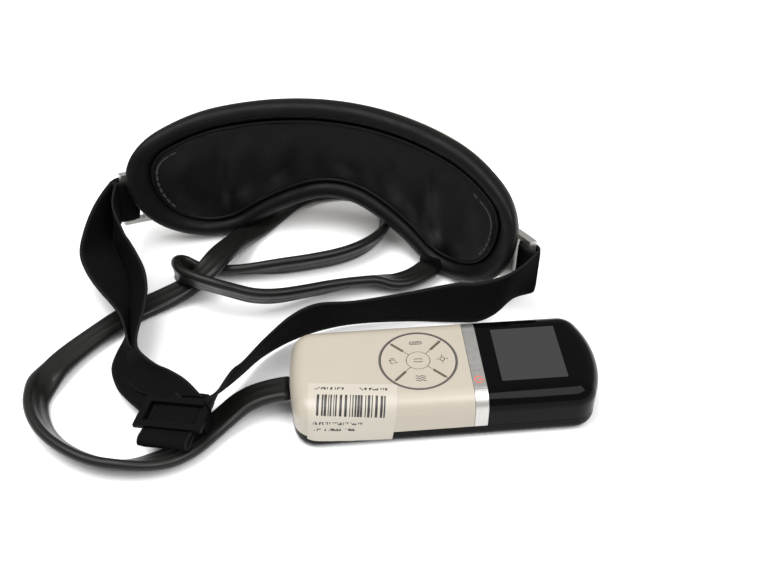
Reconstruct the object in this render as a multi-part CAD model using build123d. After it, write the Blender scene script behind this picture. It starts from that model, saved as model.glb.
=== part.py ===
from build123d import *
import math
import os

# Eye massager mask with its head strap, air hose and handheld controller, in millimetres.
# +Z is up and the table is z = 0. +X runs across the mask towards the wearer's left eye, and
# the padded side of the mask looks along -Y. The origin is below the middle of the object.

# ---- driving dimensions: the mask ----
MASK_AT = (-16.1, 63.8, 0.3)    # bottom centre of the mask's face
MASK_LEAN = 10.0                # the mask leans back by this angle
FACE_RADIUS = 136.0             # the face is wrapped round this radius, about a vertical axis
RIM_WIDTH = 10.0                # padded rim, seen from the front
RIM_DEPTH = 10.0                # padded rim, front to back
DOME_RADIUS = 120.0             # outside of the shell, part of a sphere
DOME_CENTRE = (0.0, -90.0, 42.0)
BARREL_REACH = 164.0            # the shell's back, at its fullest, from the face's axis
BARREL_RADIUS = 59.2            # and how it falls away above and below
BARREL_Z = 42.0
BACK_SLOPE = 40.0               # fall of the shell's back from the rim's upper edge
# that slope where it meets the middle plane of the mask: how far across, how high
SLOPE_LINE = [(-106, 0), (-100, 23.2), (-80, 55.6), (-50, 76.6), (0, 87.9), (50, 76.6), (80, 55.6),
              (100, 23.2), (106, 0)]
SHELL_WALL = 2.0
FRAME_DEPTH = 2.0
EYE_X = 46.0                    # eye centres, each side of the nose
EYE_Z = 43.0
# ends of the smooth arcs round the mask's right half, from the forehead edge to the nose arch
HALF_OUTLINE = [(0, 79.5), (62, 73.4), (90.1, 62.5), (101.6, 43), (94, 15.6), (69.9, 0), (45, 6),
                (15, 22.8), (0, 25.8)]

SCREW_PLACES = [(10, 32), (-10, 32), (10, 61), (-10, 61), (32, 24), (-32, 24)]   # angle, height
AIR_PORT_ANGLE = 12.0
AIR_PORT_Z = 52.0
SPLITTER_Z = 42.0
MOTOR_Y = 11.6
MOTOR_RADIUS = 4.6
MOTOR_LOW, MOTOR_HIGH = 30.0, 46.0

# ---- driving dimensions: lugs and strap ----
LUG_INNER = FACE_RADIUS + 12.6
LUG_OUTER = LUG_INNER + 4.0
LUG_LOW, LUG_HIGH = 9.0, 38.5
LUG_ANGLES = (38.0, 46.6)       # where the lug starts and ends, round the face's axis
SLOT_ANGLES = (42.4, 44.4)
SLOT_LOW, SLOT_HIGH = 11.5, 36.0
STRAP_WIDTH = 24.0
STRAP_THICK = 1.5
LEFT_THICK = 2 * STRAP_THICK + 0.2      # the left side is doubled back through the slider
SLIDER_AT = (-29.0, -148.0, 9.6)
SLIDER_YAW = 3.0
SLIDER_ROLL = -6.0              # the hose lifts the slider's right end
SLIDER_HALF_WIDTH = 16.0
SLIDER_HALF_DEPTH = 9.0

# ---- driving dimensions: the controller ----
HANDSET_AT = (MASK_AT[0] + 81.0, MASK_AT[1] - 95.0)
HANDSET_YAW = 20.0
HANDSET_LENGTH = 141.0
HANDSET_WIDTH = 53.0
HANDSET_HEIGHT = 25.0
HANDSET_WALL = 2.0
CORNER_RADIUS = 10.5            # corners seen from above
SHOULDER_RADIUS = 8.5           # roll of the upper edges
FOOT_RADIUS = 5.0               # roll of the lower edges
PARTING_Z = 8.0                 # the base ends here and the covers begin
SEAM = 0.1                      # half of the gap along a parting line
TRIM_FROM, TRIM_TO = 10.5, 16.5
POWER_FROM, POWER_TO = -19.5, -8.5
KEYPAD_X = -12.0
KEYPAD_RADIUS = 17.0
CENTRE_KEY_RADIUS = 5.2
KEY_TRAVEL = 0.5
BOARD_TOP = 17.6
BATTERY_RADIUS = 5.2
BATTERY_LENGTH = 44.5
BATTERY_PITCH = 10.8
DOOR_FROM, DOOR_TO = -69.0, -9.0
DOOR_HALF_WIDTH = 20.0
GLAND_Z = 12.5
DISPLAY_BOX = (23.5, 53.5, -16.0, 16.5)     # x from, to, y from, to
KEY_CENTRES = {"up": (0, 1), "down": (0, -1), "left": (-1, 0), "right": (1, 0)}
HANDSET_SCREWS = [(60, -14), (60, 14), (-1.5, -19.5), (-1.5, 19.5)]

# ---- driving dimensions: the hose ----
HOSE_RADIUS = 2.8
HOSE_CORNER = 0.45              # share of the shorter run that an arc may use


# ---------------------------------------------------------------- shared helpers
def place_mask(shape):
    return Pos(*MASK_AT) * Rot(X=-MASK_LEAN) * shape


def place_handset(shape):
    return Pos(HANDSET_AT[0], HANDSET_AT[1], 0) * Rot(Z=HANDSET_YAW) * shape


def block(x0, x1, y0, y1, z0, z1):
    centre = Pos((x0 + x1) / 2, (y0 + y1) / 2, (z0 + z1) / 2)
    return centre * Box(x1 - x0, y1 - y0, z1 - z0)


def rod(radius, z0, z1, x=0.0, y=0.0):
    return Pos(x, y, (z0 + z1) / 2) * Cylinder(radius, z1 - z0)


def rod_x(radius, x0, x1, y, z):
    return Pos((x0 + x1) / 2, y, z) * Rot(Y=90) * Cylinder(radius, x1 - x0)


def slab(inner, outer):
    """A curved wall between two radii about the face's vertical axis."""
    axis = Pos(0, -FACE_RADIUS, 40)
    return axis * (Cylinder(outer, 200) - Cylinder(inner, 220))


def wedge(angle_from, angle_to, reach=200.0):
    """The sector between two angles from straight back, about the face's axis."""
    points = [(0, -FACE_RADIUS)]
    for step in range(4):
        angle = math.radians(angle_from + (angle_to - angle_from) * step / 3)
        points.append((reach * math.sin(angle), -FACE_RADIUS + reach * math.cos(angle)))
    face = make_face(Polyline(*points, close=True))
    return Pos(0, 0, -10) * extrude(face, 120)


def on_arc(radius, angle, z):
    """A place at a radius and angle about the face's axis, with its own Z pointing outwards."""
    return Pos(0, -FACE_RADIUS, 0) * Rot(Z=-angle) * Pos(0, radius, z) * Rot(X=-90)


def outline(inset=0.0):
    """The mask's front outline as a prism through the whole depth, drawn in by inset."""
    arcs = []
    heading = (1, 0)
    for start, end in zip(HALF_OUTLINE, HALF_OUTLINE[1:]):
        arc = TangentArc(start, end, tangent=heading)
        heading = arc % 1
        arcs.append(arc)
    arcs += [mirror(arc, Plane.YZ) for arc in arcs]
    sketch = make_face(arcs)
    if inset:
        sketch = offset(sketch, -inset)
    upright = Rot(X=90) * sketch
    return Pos(0, 60, 0) * extrude(upright, 170, dir=(0, -1, 0))


def dome(inset=0.0):
    """The shell's crowned back, drawn in by inset: a sphere within a barrel and under a slope."""
    crown = BARREL_RADIUS - inset
    centre = BARREL_REACH - BARREL_RADIUS
    low, high = (centre, BARREL_Z - crown), (centre, BARREL_Z + crown)
    half = Line((0, low[1]), low) + ThreePointArc(low, (centre + crown, BARREL_Z), high)
    half += Line(high, (0, high[1])) + Line((0, high[1]), (0, low[1]))
    barrel = revolve(Plane.XZ * make_face(half), Axis.Z)
    crowned = (Pos(*DOME_CENTRE) * Sphere(DOME_RADIUS - inset)) & (Pos(0, -FACE_RADIUS, 0) * barrel)
    return crowned & under_slope(inset)


def under_slope(inset=0.0):
    """All that lies under a surface falling away backwards from the rim's upper edge."""
    angle = math.radians(BACK_SLOPE)
    line = [(x, z - inset / math.cos(angle)) for x, z in SLOPE_LINE]
    (x0, z0), (x1, z1) = line[0], line[-1]
    edges = Spline(*line) + Line((x1, z1), (x1, -200)) + Line((x1, -200), (x0, -200))
    sheet = Rot(X=90) * make_face(edges + Line((x0, -200), (x0, z0)))
    way = (0, math.cos(angle), -math.sin(angle))
    start = Pos(0, -120, 120 * math.tan(angle))
    return start * extrude(sheet, 260, dir=way)


def gland_room(clear=0.0):
    """The flat passage through the lower edge of the mask where the hose goes in."""
    passage = Box(13.4 + 2 * clear, 26, 6.6 + 2 * clear)
    return Pos(59.0, -7.0, 4.6) * Rot(Z=-28, X=-3) * passage


# ---------------------------------------------------------------- the mask
def mask_shell():
    outside = outline(0.8) & dome()
    inside = outline(0.8 + SHELL_WALL) & dome(SHELL_WALL)
    shell = outside - inside - Pos(0, -FACE_RADIUS, 40) * Cylinder(FACE_RADIUS + RIM_DEPTH + 0.2, 240)
    for angle, z in SCREW_PLACES:
        boss = on_arc(FACE_RADIUS + 12.4, angle, z) * rod(3.0, 0, 30)
        pilot = on_arc(FACE_RADIUS + 11, angle, z) * rod(1.1, 0, 9)
        shell = shell + (boss & inside) - pilot
    shell = shell - lug(1) - lug(-1) - gland_room()
    return largest(shell)


def largest(shape):
    solids = shape.solids()
    return max(solids, key=lambda solid: solid.volume)


def mask_frame():
    inner = FACE_RADIUS + RIM_DEPTH + 0.2
    plate = outline(0.8 + SHELL_WALL + 0.3) & slab(inner, inner + FRAME_DEPTH)
    plate = plate & dome(SHELL_WALL + 0.3)
    for angle, z in SCREW_PLACES:
        plate = plate - on_arc(FACE_RADIUS, angle, z) * rod(1.4, 0, 20)
    for side in (-1, 1):
        port = on_arc(FACE_RADIUS, side * AIR_PORT_ANGLE, AIR_PORT_Z) * rod(2.6, 0, 20)
        plate = plate - port + motor_saddle(side)
    return largest(plate - gland_room())


def motor_saddle(side):
    x = side * EYE_X
    saddle = block(x - 3.5, x + 3.5, 2.0, MOTOR_Y, MOTOR_LOW + 2, MOTOR_HIGH - 2)
    back = Pos(0, -FACE_RADIUS, 40) * Cylinder(FACE_RADIUS + RIM_DEPTH + 1.2, 240)
    return saddle - rod(MOTOR_RADIUS + 0.05, 0, 90, x, MOTOR_Y) - back


def vibration_motor(side):
    x = side * EYE_X
    can = rod(MOTOR_RADIUS, MOTOR_LOW, MOTOR_HIGH, x, MOTOR_Y)
    nose = rod(1.6, MOTOR_HIGH, MOTOR_HIGH + 0.8, x, MOTOR_Y)
    bore = rod(0.8, MOTOR_HIGH - 6, MOTOR_HIGH + 2, x, MOTOR_Y)
    return can + nose - bore


def motor_weight(side):
    """The motor's shaft with its off-centre weight, turning in the can."""
    x = side * EYE_X
    shaft = rod(0.76, MOTOR_HIGH - 5.8, MOTOR_HIGH + 6, x, MOTOR_Y)
    half = rod(4.2, MOTOR_HIGH + 1.4, MOTOR_HIGH + 5.6, x, MOTOR_Y)
    half = half & block(x - 5, x + 5, MOTOR_Y - 5, MOTOR_Y + 0.9, 0, 90)
    return shaft + half


def rim_cushion():
    ring = (outline() - outline(RIM_WIDTH)) & slab(FACE_RADIUS, FACE_RADIUS + RIM_DEPTH)
    return largest(ring - gland_room(0.3))


def eye_pad():
    inner = FACE_RADIUS + 1.5
    return largest((outline(RIM_WIDTH + 0.3) & slab(inner, inner + 2.2)) - gland_room(0.3))


def air_bladder(side):
    inner = FACE_RADIUS + 4.0
    lens = Rot(X=90) * make_face(Ellipse(31, 21).edges())
    pillow = Pos(side * EYE_X, 60, EYE_Z) * extrude(lens, 170, dir=(0, -1, 0))
    port = on_arc(inner + 3.0, side * AIR_PORT_ANGLE * 1.25, AIR_PORT_Z) * rod(1.9, 0, 2.4)
    pillow = pillow & outline(RIM_WIDTH + 0.6) & slab(inner, inner + 3.4)
    return largest(pillow - port)


def heater_film():
    inner = FACE_RADIUS + 7.8
    film = outline(RIM_WIDTH + 3) & slab(inner, inner + 0.4)
    for side in (-1, 1):
        film = film - on_arc(FACE_RADIUS, side * AIR_PORT_ANGLE, AIR_PORT_Z) * rod(4, 0, 20)
    return film


def mask_screws():
    screws = []
    seat = FACE_RADIUS + RIM_DEPTH + 0.1
    for angle, z in SCREW_PLACES:
        head = rod(2.4, -1.2, 0)
        shank = rod(1.05, 0, 8)
        screws.append(on_arc(seat, angle, z) * (head + shank))
    return Compound(screws)


def junction_board():
    board = block(-16, 16, 17.0, 18.2, 47, 66)
    for x in (-11, 11):
        board = board - Pos(x, 17.6, 51) * Rot(X=90) * Cylinder(1.1, 4)
    sockets = block(-9, -3, 14.2, 17.0, 59, 64) + block(3, 9, 14.2, 17.0, 59, 64)
    chip = block(-3.5, 3.5, 15.6, 17.0, 51, 57)
    return board + sockets + chip


def air_splitter():
    body = block(-8, 8, 14.5, 21.5, SPLITTER_Z - 3.5, SPLITTER_Z + 3.5)
    barbs = rod_x(1.2, -12, 12, 18, SPLITTER_Z)
    return body + barbs


def mask_air_tube(side):
    """From the splitter's barb up to the air bladder's port through the frame."""
    angle = side * AIR_PORT_ANGLE
    port = on_arc(FACE_RADIUS, angle, AIR_PORT_Z)
    mouth = (port * Pos(0, 0, RIM_DEPTH - 1.4)).position
    back = (port * Pos(0, 0, RIM_DEPTH + 10)).position
    start = Vector(side * 8.2, 18, SPLITTER_Z)
    path = FilletPolyline(start, Vector(side * 23, 18.4, SPLITTER_Z), back, mouth, radius=[6.0, 3.6])
    tube = sweep(Plane(path @ 0, z_dir=path % 0) * Circle(1.9), path=path)
    return tube - rod_x(1.25, -13, 13, 18, SPLITTER_Z)


def lug(side):
    """Silver loop at the end of the shell that the strap is threaded through."""
    start, end = LUG_ANGLES
    body = slab(LUG_INNER, LUG_OUTER) & wedge(start, end) & block(0, 200, -120, 60, LUG_LOW, LUG_HIGH)
    slot = wedge(*SLOT_ANGLES) & block(0, 200, -120, 60, SLOT_LOW, SLOT_HIGH)
    body = largest(body - slot)
    return body if side > 0 else mirror(body, Plane.YZ)


def mask_gland():
    """Flat boot that grips the hose where it goes into the mask."""
    boot = Pos(59.0, -7.0, 4.6) * Rot(Z=-28, X=-3) * Pos(0, 1.5, 0) * Box(13.2, 17.0, 6.4)
    return fillet(boot.edges().filter_by(GeomType.LINE).group_by(SortBy.LENGTH)[-1], 2.9) & gland_room()


# ---------------------------------------------------------------- straps
def band(stations, thickness):
    """A flat band through stations of (lower edge, upper edge), as ruled panels."""
    lowers = [Vector(*low) for low, high in stations]
    uppers = [Vector(*high) for low, high in stations]
    sections = []
    count = len(stations)
    for index in range(count):
        before, after = max(index - 1, 0), min(index + 1, count - 1)
        middle = (lowers[index] + uppers[index]) * 0.5
        along = (lowers[after] + uppers[after] - lowers[before] - uppers[before]).normalized()
        across = (uppers[index] - lowers[index]).normalized()
        normal = along.cross(across).normalized()
        half_width = across * (STRAP_WIDTH / 2)
        half_thick = normal * (thickness / 2)
        corners = [middle - half_width - half_thick, middle + half_width - half_thick,
                   middle + half_width + half_thick, middle - half_width + half_thick]
        sections.append(Wire.make_polygon(corners, close=True))
    return Solid.make_loft(sections, ruled=True)


# lower edge and upper edge of the strap, station by station, in the mask's upright frame
RIGHT_STRAP = [((112.3, -33.0, 18.0), (112.6, -29.0, 42.0)),
               ((103.5, -35.5, 14.5), (106.0, -38.5, 38.3)),
               ((96.0, -42.0, 8.0), (97.5, -41.0, 32.0)),
               ((88.0, -44.8, 3.4), (86.0, -42.8, 27.2)),
               ((78.0, -46.0, 1.6), (75.5, -44.0, 25.4)),
               ((55.0, -51.0, 1.4), (54.0, -56.0, 24.8)),
               ((30.0, -59.5, 1.6), (31.0, -67.5, 24.0)),
               ((14.0, -68.5, 1.6), (14.5, -74.5, 24.8)),
               ((1.0, -80.5, 1.8), (5.0, -85.5, 24.8)),
               ((-8.5, -95.0, 2.2), (-2.0, -102.5, 24.4)),
               ((-13.0, -109.5, 4.0), (-6.3, -119.3, 24.9)),
               ((-15.0, -117.2, 5.4), (-8.3, -126.5, 26.6)),
               ((-16.4, -124.0, 7.0), (-10.6, -131.0, 29.0))]

LEFT_STRAP = [((-112.3, -33.0, 18.0), (-112.6, -29.0, 42.0)),
              ((-107.5, -38.5, 15.5), (-113.5, -50.0, 35.5)),
              ((-100.5, -43.5, 13.0), (-117.0, -58.0, 23.5)),
              ((-90.0, -53.5, 13.0), (-111.5, -66.0, 21.0)),
              ((-81.0, -66.0, 13.0), (-101.5, -77.5, 21.0)),
              ((-74.5, -79.0, 11.5), (-91.0, -92.0, 23.5)),
              ((-71.5, -90.0, 7.5), (-76.5, -105.0, 26.5)),
              ((-71.5, -103.0, 4.0), (-65.0, -117.0, 22.5)),
              ((-69.5, -114.5, 3.5), (-52.0, -121.0, 18.0)),
              ((-57.5, -122.5, 6.0), (-36.5, -125.0, 15.0))]


def place_slider(shape):
    x, y, z = SLIDER_AT
    return Pos(x, y, z) * Rot(Z=SLIDER_YAW) * Rot(Y=SLIDER_ROLL) * shape


def slider_point(x, y, z):
    place = Pos(*SLIDER_AT) * Rot(Z=SLIDER_YAW) * Rot(Y=SLIDER_ROLL) * Pos(x, y, z)
    return tuple(place.position)


def upright_to_row(shape):
    return Pos(MASK_AT[0], MASK_AT[1], 0) * shape


def strap_sleeve(side):
    """The sewn loop of the strap round the bar of the lug."""
    sleeve = slab(LUG_INNER - 1.7, LUG_OUTER + 1.7) & wedge(SLOT_ANGLES[1] - 0.85, LUG_ANGLES[1] + 0.85)
    bar = slab(LUG_INNER - 0.15, LUG_OUTER + 0.15) & wedge(SLOT_ANGLES[1] - 0.1, LUG_ANGLES[1] + 0.1)
    height = block(0, 200, -120, 60, SLOT_LOW + 0.5, SLOT_HIGH - 0.5)
    loop = (sleeve - bar) & height
    loop = loop if side > 0 else mirror(loop, Plane.YZ)
    return place_mask(loop)


def strap_right():
    return strap_sleeve(1) + upright_to_row(band(RIGHT_STRAP, STRAP_THICK))


def strap_left():
    ends = [slider_point(x, 14.4, LEFT_THICK / 2) for x in (-STRAP_WIDTH / 2, STRAP_WIDTH / 2)]
    run = upright_to_row(band(LEFT_STRAP + [tuple(ends)], LEFT_THICK))
    return strap_sleeve(-1) + run


def strap_tail():
    """The straight stretch of strap that runs through the slider."""
    tail = block(-STRAP_WIDTH / 2, STRAP_WIDTH / 2, -14.8, 14, 0, LEFT_THICK)
    return upright_to_row(place_slider(tail))


def strap_slider():
    """Black adjuster: a frame over the strap, joined round its edges to a bar below it."""
    top = LEFT_THICK + 0.3
    wide, deep = SLIDER_HALF_WIDTH, SLIDER_HALF_DEPTH
    opening = STRAP_WIDTH / 2 + 0.6
    frame = block(-wide, wide, -deep, deep, top, top + 2)
    frame = frame - block(-opening, opening, -deep + 3.4, deep - 3.4, top - 1, top + 3)
    middle = block(-wide, wide, -1.8, 1.8, -2.1, -0.3)
    for side in (-1, 1):
        inner, outer = sorted((side * opening, side * wide))
        frame = frame + block(inner, outer, -4.5, 4.5, -2.1, top + 0.5)
    return upright_to_row(place_slider(frame + middle))


# ---------------------------------------------------------------- the hose
# corners of the hose's route in the mask's upright frame, from the controller to the mask
HOSE_ROUTE = [(14.3, -119.3, GLAND_Z), (-1, -124.5, 11), (-13, -141, 4.0), (-22, -166, 3.0),
              (-48, -178, 5.0), (-80, -170, 5.6), (-103.6, -150, 5.6), (-104.5, -129, 5.0),
              (-92.6, -103.6, 3.4), (-81.8, -82.6, 3.2), (-70.2, -69, 3.4), (-59.8, -59.5, 6.5),
              (-52, -52.6, 13.5), (-49.3, -37.9, 13.5), (-48.9, -12.9, 3.6), (-42, 4, 2.9), (-32, 35, 3.2),
              (-3, 49, 4.0), (22, 36, 5.0), (27, 10, 6.0), (16, -14, 6.0), (-14.5, -32, 5.6),
              (-43.3, -41, 4.4), (-58.7, -44.7, 5.0), (-70.2, -55, 13.5), (-56.5, -67.9, 20.0),
              (-35.8, -69.4, 17.5), (-17.6, -64.4, 10), (5, -47, 7.0), (28.5, -30.5, 6.4),
              (47.5, -28.0, 3.6), (56.0, -12.3, 5.0)]


def hose_corner_radii(points):
    radii = []
    for before, corner, after in zip(points, points[1:], points[2:]):
        turn = (corner - before).get_angle(after - corner)
        shorter = min((corner - before).length, (after - corner).length)
        radii.append(HOSE_CORNER * shorter / math.tan(math.radians(turn / 2)))
    return radii


def hose_points():
    return [Vector(x + MASK_AT[0], y + MASK_AT[1], z) for x, y, z in HOSE_ROUTE]


def air_hose():
    points = hose_points()
    radii = hose_corner_radii(points)
    path = FilletPolyline(*points, radius=radii)
    tube = sweep(Plane(path @ 0, z_dir=path % 0) * Circle(HOSE_RADIUS), path=path)
    print("hose arc radii", [round(radius, 1) for radius in radii])
    print("hose runs", [round((b - a).length, 1) for a, b in zip(points, points[1:])])
    print("hose length", round(path.length, 1))
    print("hose volume", round(tube.volume), "expected", round(math.pi * HOSE_RADIUS ** 2 * path.length))
    return tube


# ---------------------------------------------------------------- the controller
def handset_body(inset=0.0):
    """The whole outside of the controller as one solid, drawn in by inset."""
    half_length = HANDSET_LENGTH / 2 - inset
    half_width = HANDSET_WIDTH / 2 - inset
    hose_end = -(half_length - 3.0)
    display_end = half_length - 8.0
    low_right = (display_end, -half_width)
    high_right = (display_end, half_width)
    low_left = (hose_end, -half_width)
    high_left = (hose_end, half_width)
    plan = Line(low_left, low_right) + ThreePointArc(low_right, (half_length, 0), high_right)
    plan += Line(high_right, high_left) + ThreePointArc(high_left, (-half_length, 0), low_left)
    plan = fillet(make_face(plan).vertices(), CORNER_RADIUS - inset)
    body = Pos(0, 0, inset) * extrude(plan, HANDSET_HEIGHT - 2 * inset)
    body = fillet(body.faces().sort_by(Axis.Z)[-1].edges(), SHOULDER_RADIUS - inset)
    return fillet(body.faces().sort_by(Axis.Z)[0].edges(), FOOT_RADIUS - inset)


def handset_skin():
    return handset_body() - handset_body(HANDSET_WALL)


def gland_hole():
    return Pos(-70, 0, GLAND_Z) * Rot(Y=90) * extrude(RectangleRounded(12.0, 6.4, 3.0), 12, both=True)


def screw_post(x, y, z0, z1, bore):
    return rod(3.2, z0, z1, x, y) - rod(bore, z0 - 1, z1 + 1, x, y)


def handset_base():
    base = handset_skin() & block(-80, 80, -40, 40, -1, PARTING_Z - SEAM)
    for x, y in HANDSET_SCREWS:
        base = base + screw_post(x, y, 1, PARTING_Z - SEAM, 1.3)
        base = base - rod(2.6, -1, 3.2, x, y) - rod(1.3, 0, 12, x, y)
    opening = block(-80, DOOR_TO, -DOOR_HALF_WIDTH, DOOR_HALF_WIDTH, -1, 2.4)
    wall = block(DOOR_TO + 2.2, DOOR_TO + 3.4, -15.6, 15.6, HANDSET_WALL, PARTING_Z)
    return largest(base + wall - opening - gland_hole())


def cover_piece(x0, x1):
    return handset_skin() & block(x0, x1, -40, 40, PARTING_Z + SEAM, 40)


def front_cover():
    cover = cover_piece(-80, TRIM_FROM - SEAM)
    cover = cover - rod(KEYPAD_RADIUS + 1.0, 15, 40, KEYPAD_X, 0)
    for x, y in HANDSET_SCREWS[2:]:
        cover = cover + screw_post(x, y, PARTING_Z + SEAM, HANDSET_HEIGHT - 3.4, 1.15)
    return largest(cover - gland_hole())


def power_cut(extra=0.0):
    return block(TRIM_FROM - 1, TRIM_TO + 1, POWER_FROM - extra, POWER_TO + extra, 15, 40)


def trim_band(side):
    pieces = (cover_piece(TRIM_FROM + SEAM, TRIM_TO - SEAM) - power_cut(0.12)).solids()
    pieces = sorted(pieces, key=lambda solid: solid.center().Y)
    return pieces[0] if side == "near" else pieces[-1]


def power_button():
    cap = cover_piece(TRIM_FROM + SEAM, TRIM_TO - SEAM) & power_cut()
    x = (TRIM_FROM + TRIM_TO) / 2
    stem = rod(1.3, BOARD_TOP + 2.6, HANDSET_HEIGHT - 1.5, x, -12.5)
    return cap + stem


def display_hood():
    hood = cover_piece(TRIM_TO + SEAM, 80)
    hood = hood - block(*DISPLAY_BOX, 15, 40)
    for x, y in HANDSET_SCREWS[:2]:
        hood = hood + screw_post(x, y, PARTING_Z + SEAM, HANDSET_HEIGHT - 3.0, 1.15)
    return largest(hood)


def display_window():
    x0, x1, y0, y1 = DISPLAY_BOX
    gap = 0.12
    top = handset_body() & block(x0 + gap, x1 - gap, y0 + gap, y1 - gap, HANDSET_HEIGHT - 4, 40)
    return top - handset_body(1.4)


def lcd_module():
    x0, x1, y0, y1 = DISPLAY_BOX
    panel = block(x0 + 1, x1 - 1, y0 + 1, y1 - 1, BOARD_TOP + 1.4, 22.0)
    frame = block(x0 - 1, x1 + 1, y0 - 0.5, y1 + 0.5, BOARD_TOP + 0.02, BOARD_TOP + 1.4)
    return panel + frame


def circuit_board():
    board = block(-42, 62, -15.8, 15.8, BOARD_TOP - 1.6, BOARD_TOP)
    chips = block(-38, -31, -4, 4, BOARD_TOP, BOARD_TOP + 1.4)
    chips = chips + block(-36, -30, 8, 14, BOARD_TOP, BOARD_TOP + 1.2)
    for x, y in HANDSET_SCREWS[:2]:
        board = board - rod(3.6, 0, 30, x, y)
    return board + chips


def key_switches():
    places = [(KEYPAD_X + 11 * x, 11 * y) for x, y in KEY_CENTRES.values()]
    places += [(KEYPAD_X, 0), ((TRIM_FROM + TRIM_TO) / 2, -12.5)]
    switches = []
    for x, y in places:
        case = block(x - 2.6, x + 2.6, y - 2.6, y + 2.6, BOARD_TOP + 0.01, BOARD_TOP + 1.5)
        switches.append(case + rod(1.2, BOARD_TOP + 1.5, BOARD_TOP + 2.0, x, y))
    return Compound(switches)


def key_blank(radius):
    return (handset_body() - handset_body(HANDSET_WALL)) & rod(radius, 15, 40, KEYPAD_X, 0)


def direction_key(name):
    """One quarter of the round keypad, with a skirt that keeps it in and a stem below."""
    dx, dy = KEY_CENTRES[name]
    cap = key_blank(KEYPAD_RADIUS - 0.15)
    skirt = rod(KEYPAD_RADIUS + 0.9, HANDSET_HEIGHT - 4.2, HANDSET_HEIGHT - 3.1, KEYPAD_X, 0)
    neck = rod(KEYPAD_RADIUS - 2, HANDSET_HEIGHT - 3.2, HANDSET_HEIGHT - 1.5, KEYPAD_X, 0)
    body = cap + (neck & handset_body(0.8)) + skirt
    body = body - rod(CENTRE_KEY_RADIUS + 0.3, 0, 40, KEYPAD_X, 0)
    angle = math.degrees(math.atan2(dy, dx))
    quarter = make_face(Polyline((0.25, 0), (30.25, 30), (30.25, -30), close=True))
    quarter = extrude(quarter, 60)
    body = body & (Pos(KEYPAD_X, 0, 0) * Rot(Z=angle) * quarter)
    for turn in (45, -45):
        groove = Pos(KEYPAD_X, 0, 22) * Rot(Z=angle + turn) * Pos(12.4, 0, 0) * Box(7.2, 1.3, 12)
        body = body - groove
    stem = rod(1.4, BOARD_TOP + 2.6, HANDSET_HEIGHT - 3.8, KEYPAD_X + 11 * dx, 11 * dy)
    return largest(body + stem)


def centre_key():
    cap = key_blank(CENTRE_KEY_RADIUS)
    collar = rod(CENTRE_KEY_RADIUS, HANDSET_HEIGHT - 3.2, HANDSET_HEIGHT - 1.5, KEYPAD_X, 0)
    stem = rod(1.4, BOARD_TOP + 2.6, HANDSET_HEIGHT - 3.2, KEYPAD_X, 0)
    return cap + (collar & handset_body(0.8)) + stem


def keypad_ring():
    ring = handset_skin() & (rod(KEYPAD_RADIUS + 1.0, 15, 40, KEYPAD_X, 0)
                             - rod(KEYPAD_RADIUS + 0.15, 10, 41, KEYPAD_X, 0))
    return largest(ring & block(-80, 80, -40, 40, HANDSET_HEIGHT - 2.2, 40))


def battery_places():
    return [(index - 1.5) * BATTERY_PITCH for index in range(4)]


def batteries():
    cells = []
    for y in battery_places():
        cell = rod_x(BATTERY_RADIUS, -60, -60 + BATTERY_LENGTH - 1, y, 8.2)
        tip = rod_x(1.9, -60 + BATTERY_LENGTH - 1, -60 + BATTERY_LENGTH, y, 8.2)
        cells.append(cell + tip)
    return Compound(cells)


def battery_contacts():
    pieces = []
    for index, y in enumerate(battery_places()):
        pieces.append(block(-15.4, -15.0, y - 4, y + 4, 4.5, 12))
        pieces.append(block(-62.6, -62.2, y - 4, y + 4, 4.5, 12))
    return Compound(pieces)


def battery_springs():
    coils = []
    for y in battery_places():
        helix = Helix(pitch=0.56, height=1.6, radius=2.2)
        coil = sweep(Plane(helix @ 0, z_dir=helix % 0) * Circle(0.2), path=helix)
        coils.append(Pos(-62.15, y, 8.2) * Rot(Y=90) * Pos(0, 0, 0.22) * coil)
    return Compound(coils)


def battery_door():
    half = DOOR_HALF_WIDTH - 0.3
    door = handset_body() & block(DOOR_FROM, DOOR_TO - 0.3, -half, half, 0.3, 2.1)
    for step in range(4):
        x = DOOR_FROM + 10 + step * 2.4
        door = door - block(x, x + 1, -7, 7, 0, 0.8)
    return largest(door)


def pump_motor():
    can = rod_x(7.4, 2, 22, 0, 9.6) & block(0, 30, -10, 10, 2.3, 15.4)
    return can - rod_x(1.05, 18, 24, 0, 9.6)


def pump_head():
    """Cup on the motor's front that holds the crank and the diaphragms."""
    cup = rod_x(7.4, 22.05, 36, 0, 9.6) & block(20, 40, -10, 10, 2.3, 15.4)
    cup = cup - rod_x(5.6, 23.3, 33.5, 0, 9.6) - rod_x(1.4, 21, 24, 0, 9.6)
    return cup + rod_x(1.6, 36, 41, 0, 9.6)


def pump_crank():
    """Motor shaft with the offset crank that works the diaphragms."""
    shaft = rod_x(1.0, 18.4, 31, 0, 9.6)
    wheel = rod_x(3.0, 24.4, 31, 1.8, 9.6)
    return shaft + wheel


def release_valve():
    case = block(44, 56, -15, -5, 2.4, 13)
    coil = rod(3.4, 13, 15, 50, -10)
    nozzle = rod_x(1.5, 41, 44, -10, 7.5)
    return case + coil + nozzle


def buzzer():
    return rod(6, 10.6, 15.8, -6.5, 0) - rod(1, 9, 12, -6.5, 0)


def handset_air_tube():
    """Silicone tube from the pump's outlet back past the batteries to the hose gland."""
    path = FilletPolyline((41.2, 0, 9.6), (47, 0, 9.6), (50, 9, 11.6), (44, 17.5, 11.6),
                          (8, 17.0, 11.6), radius=[2.6, 5.0, 5.0])
    return sweep(Plane(path @ 0, z_dir=path % 0) * Circle(1.5), path=path)


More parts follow.
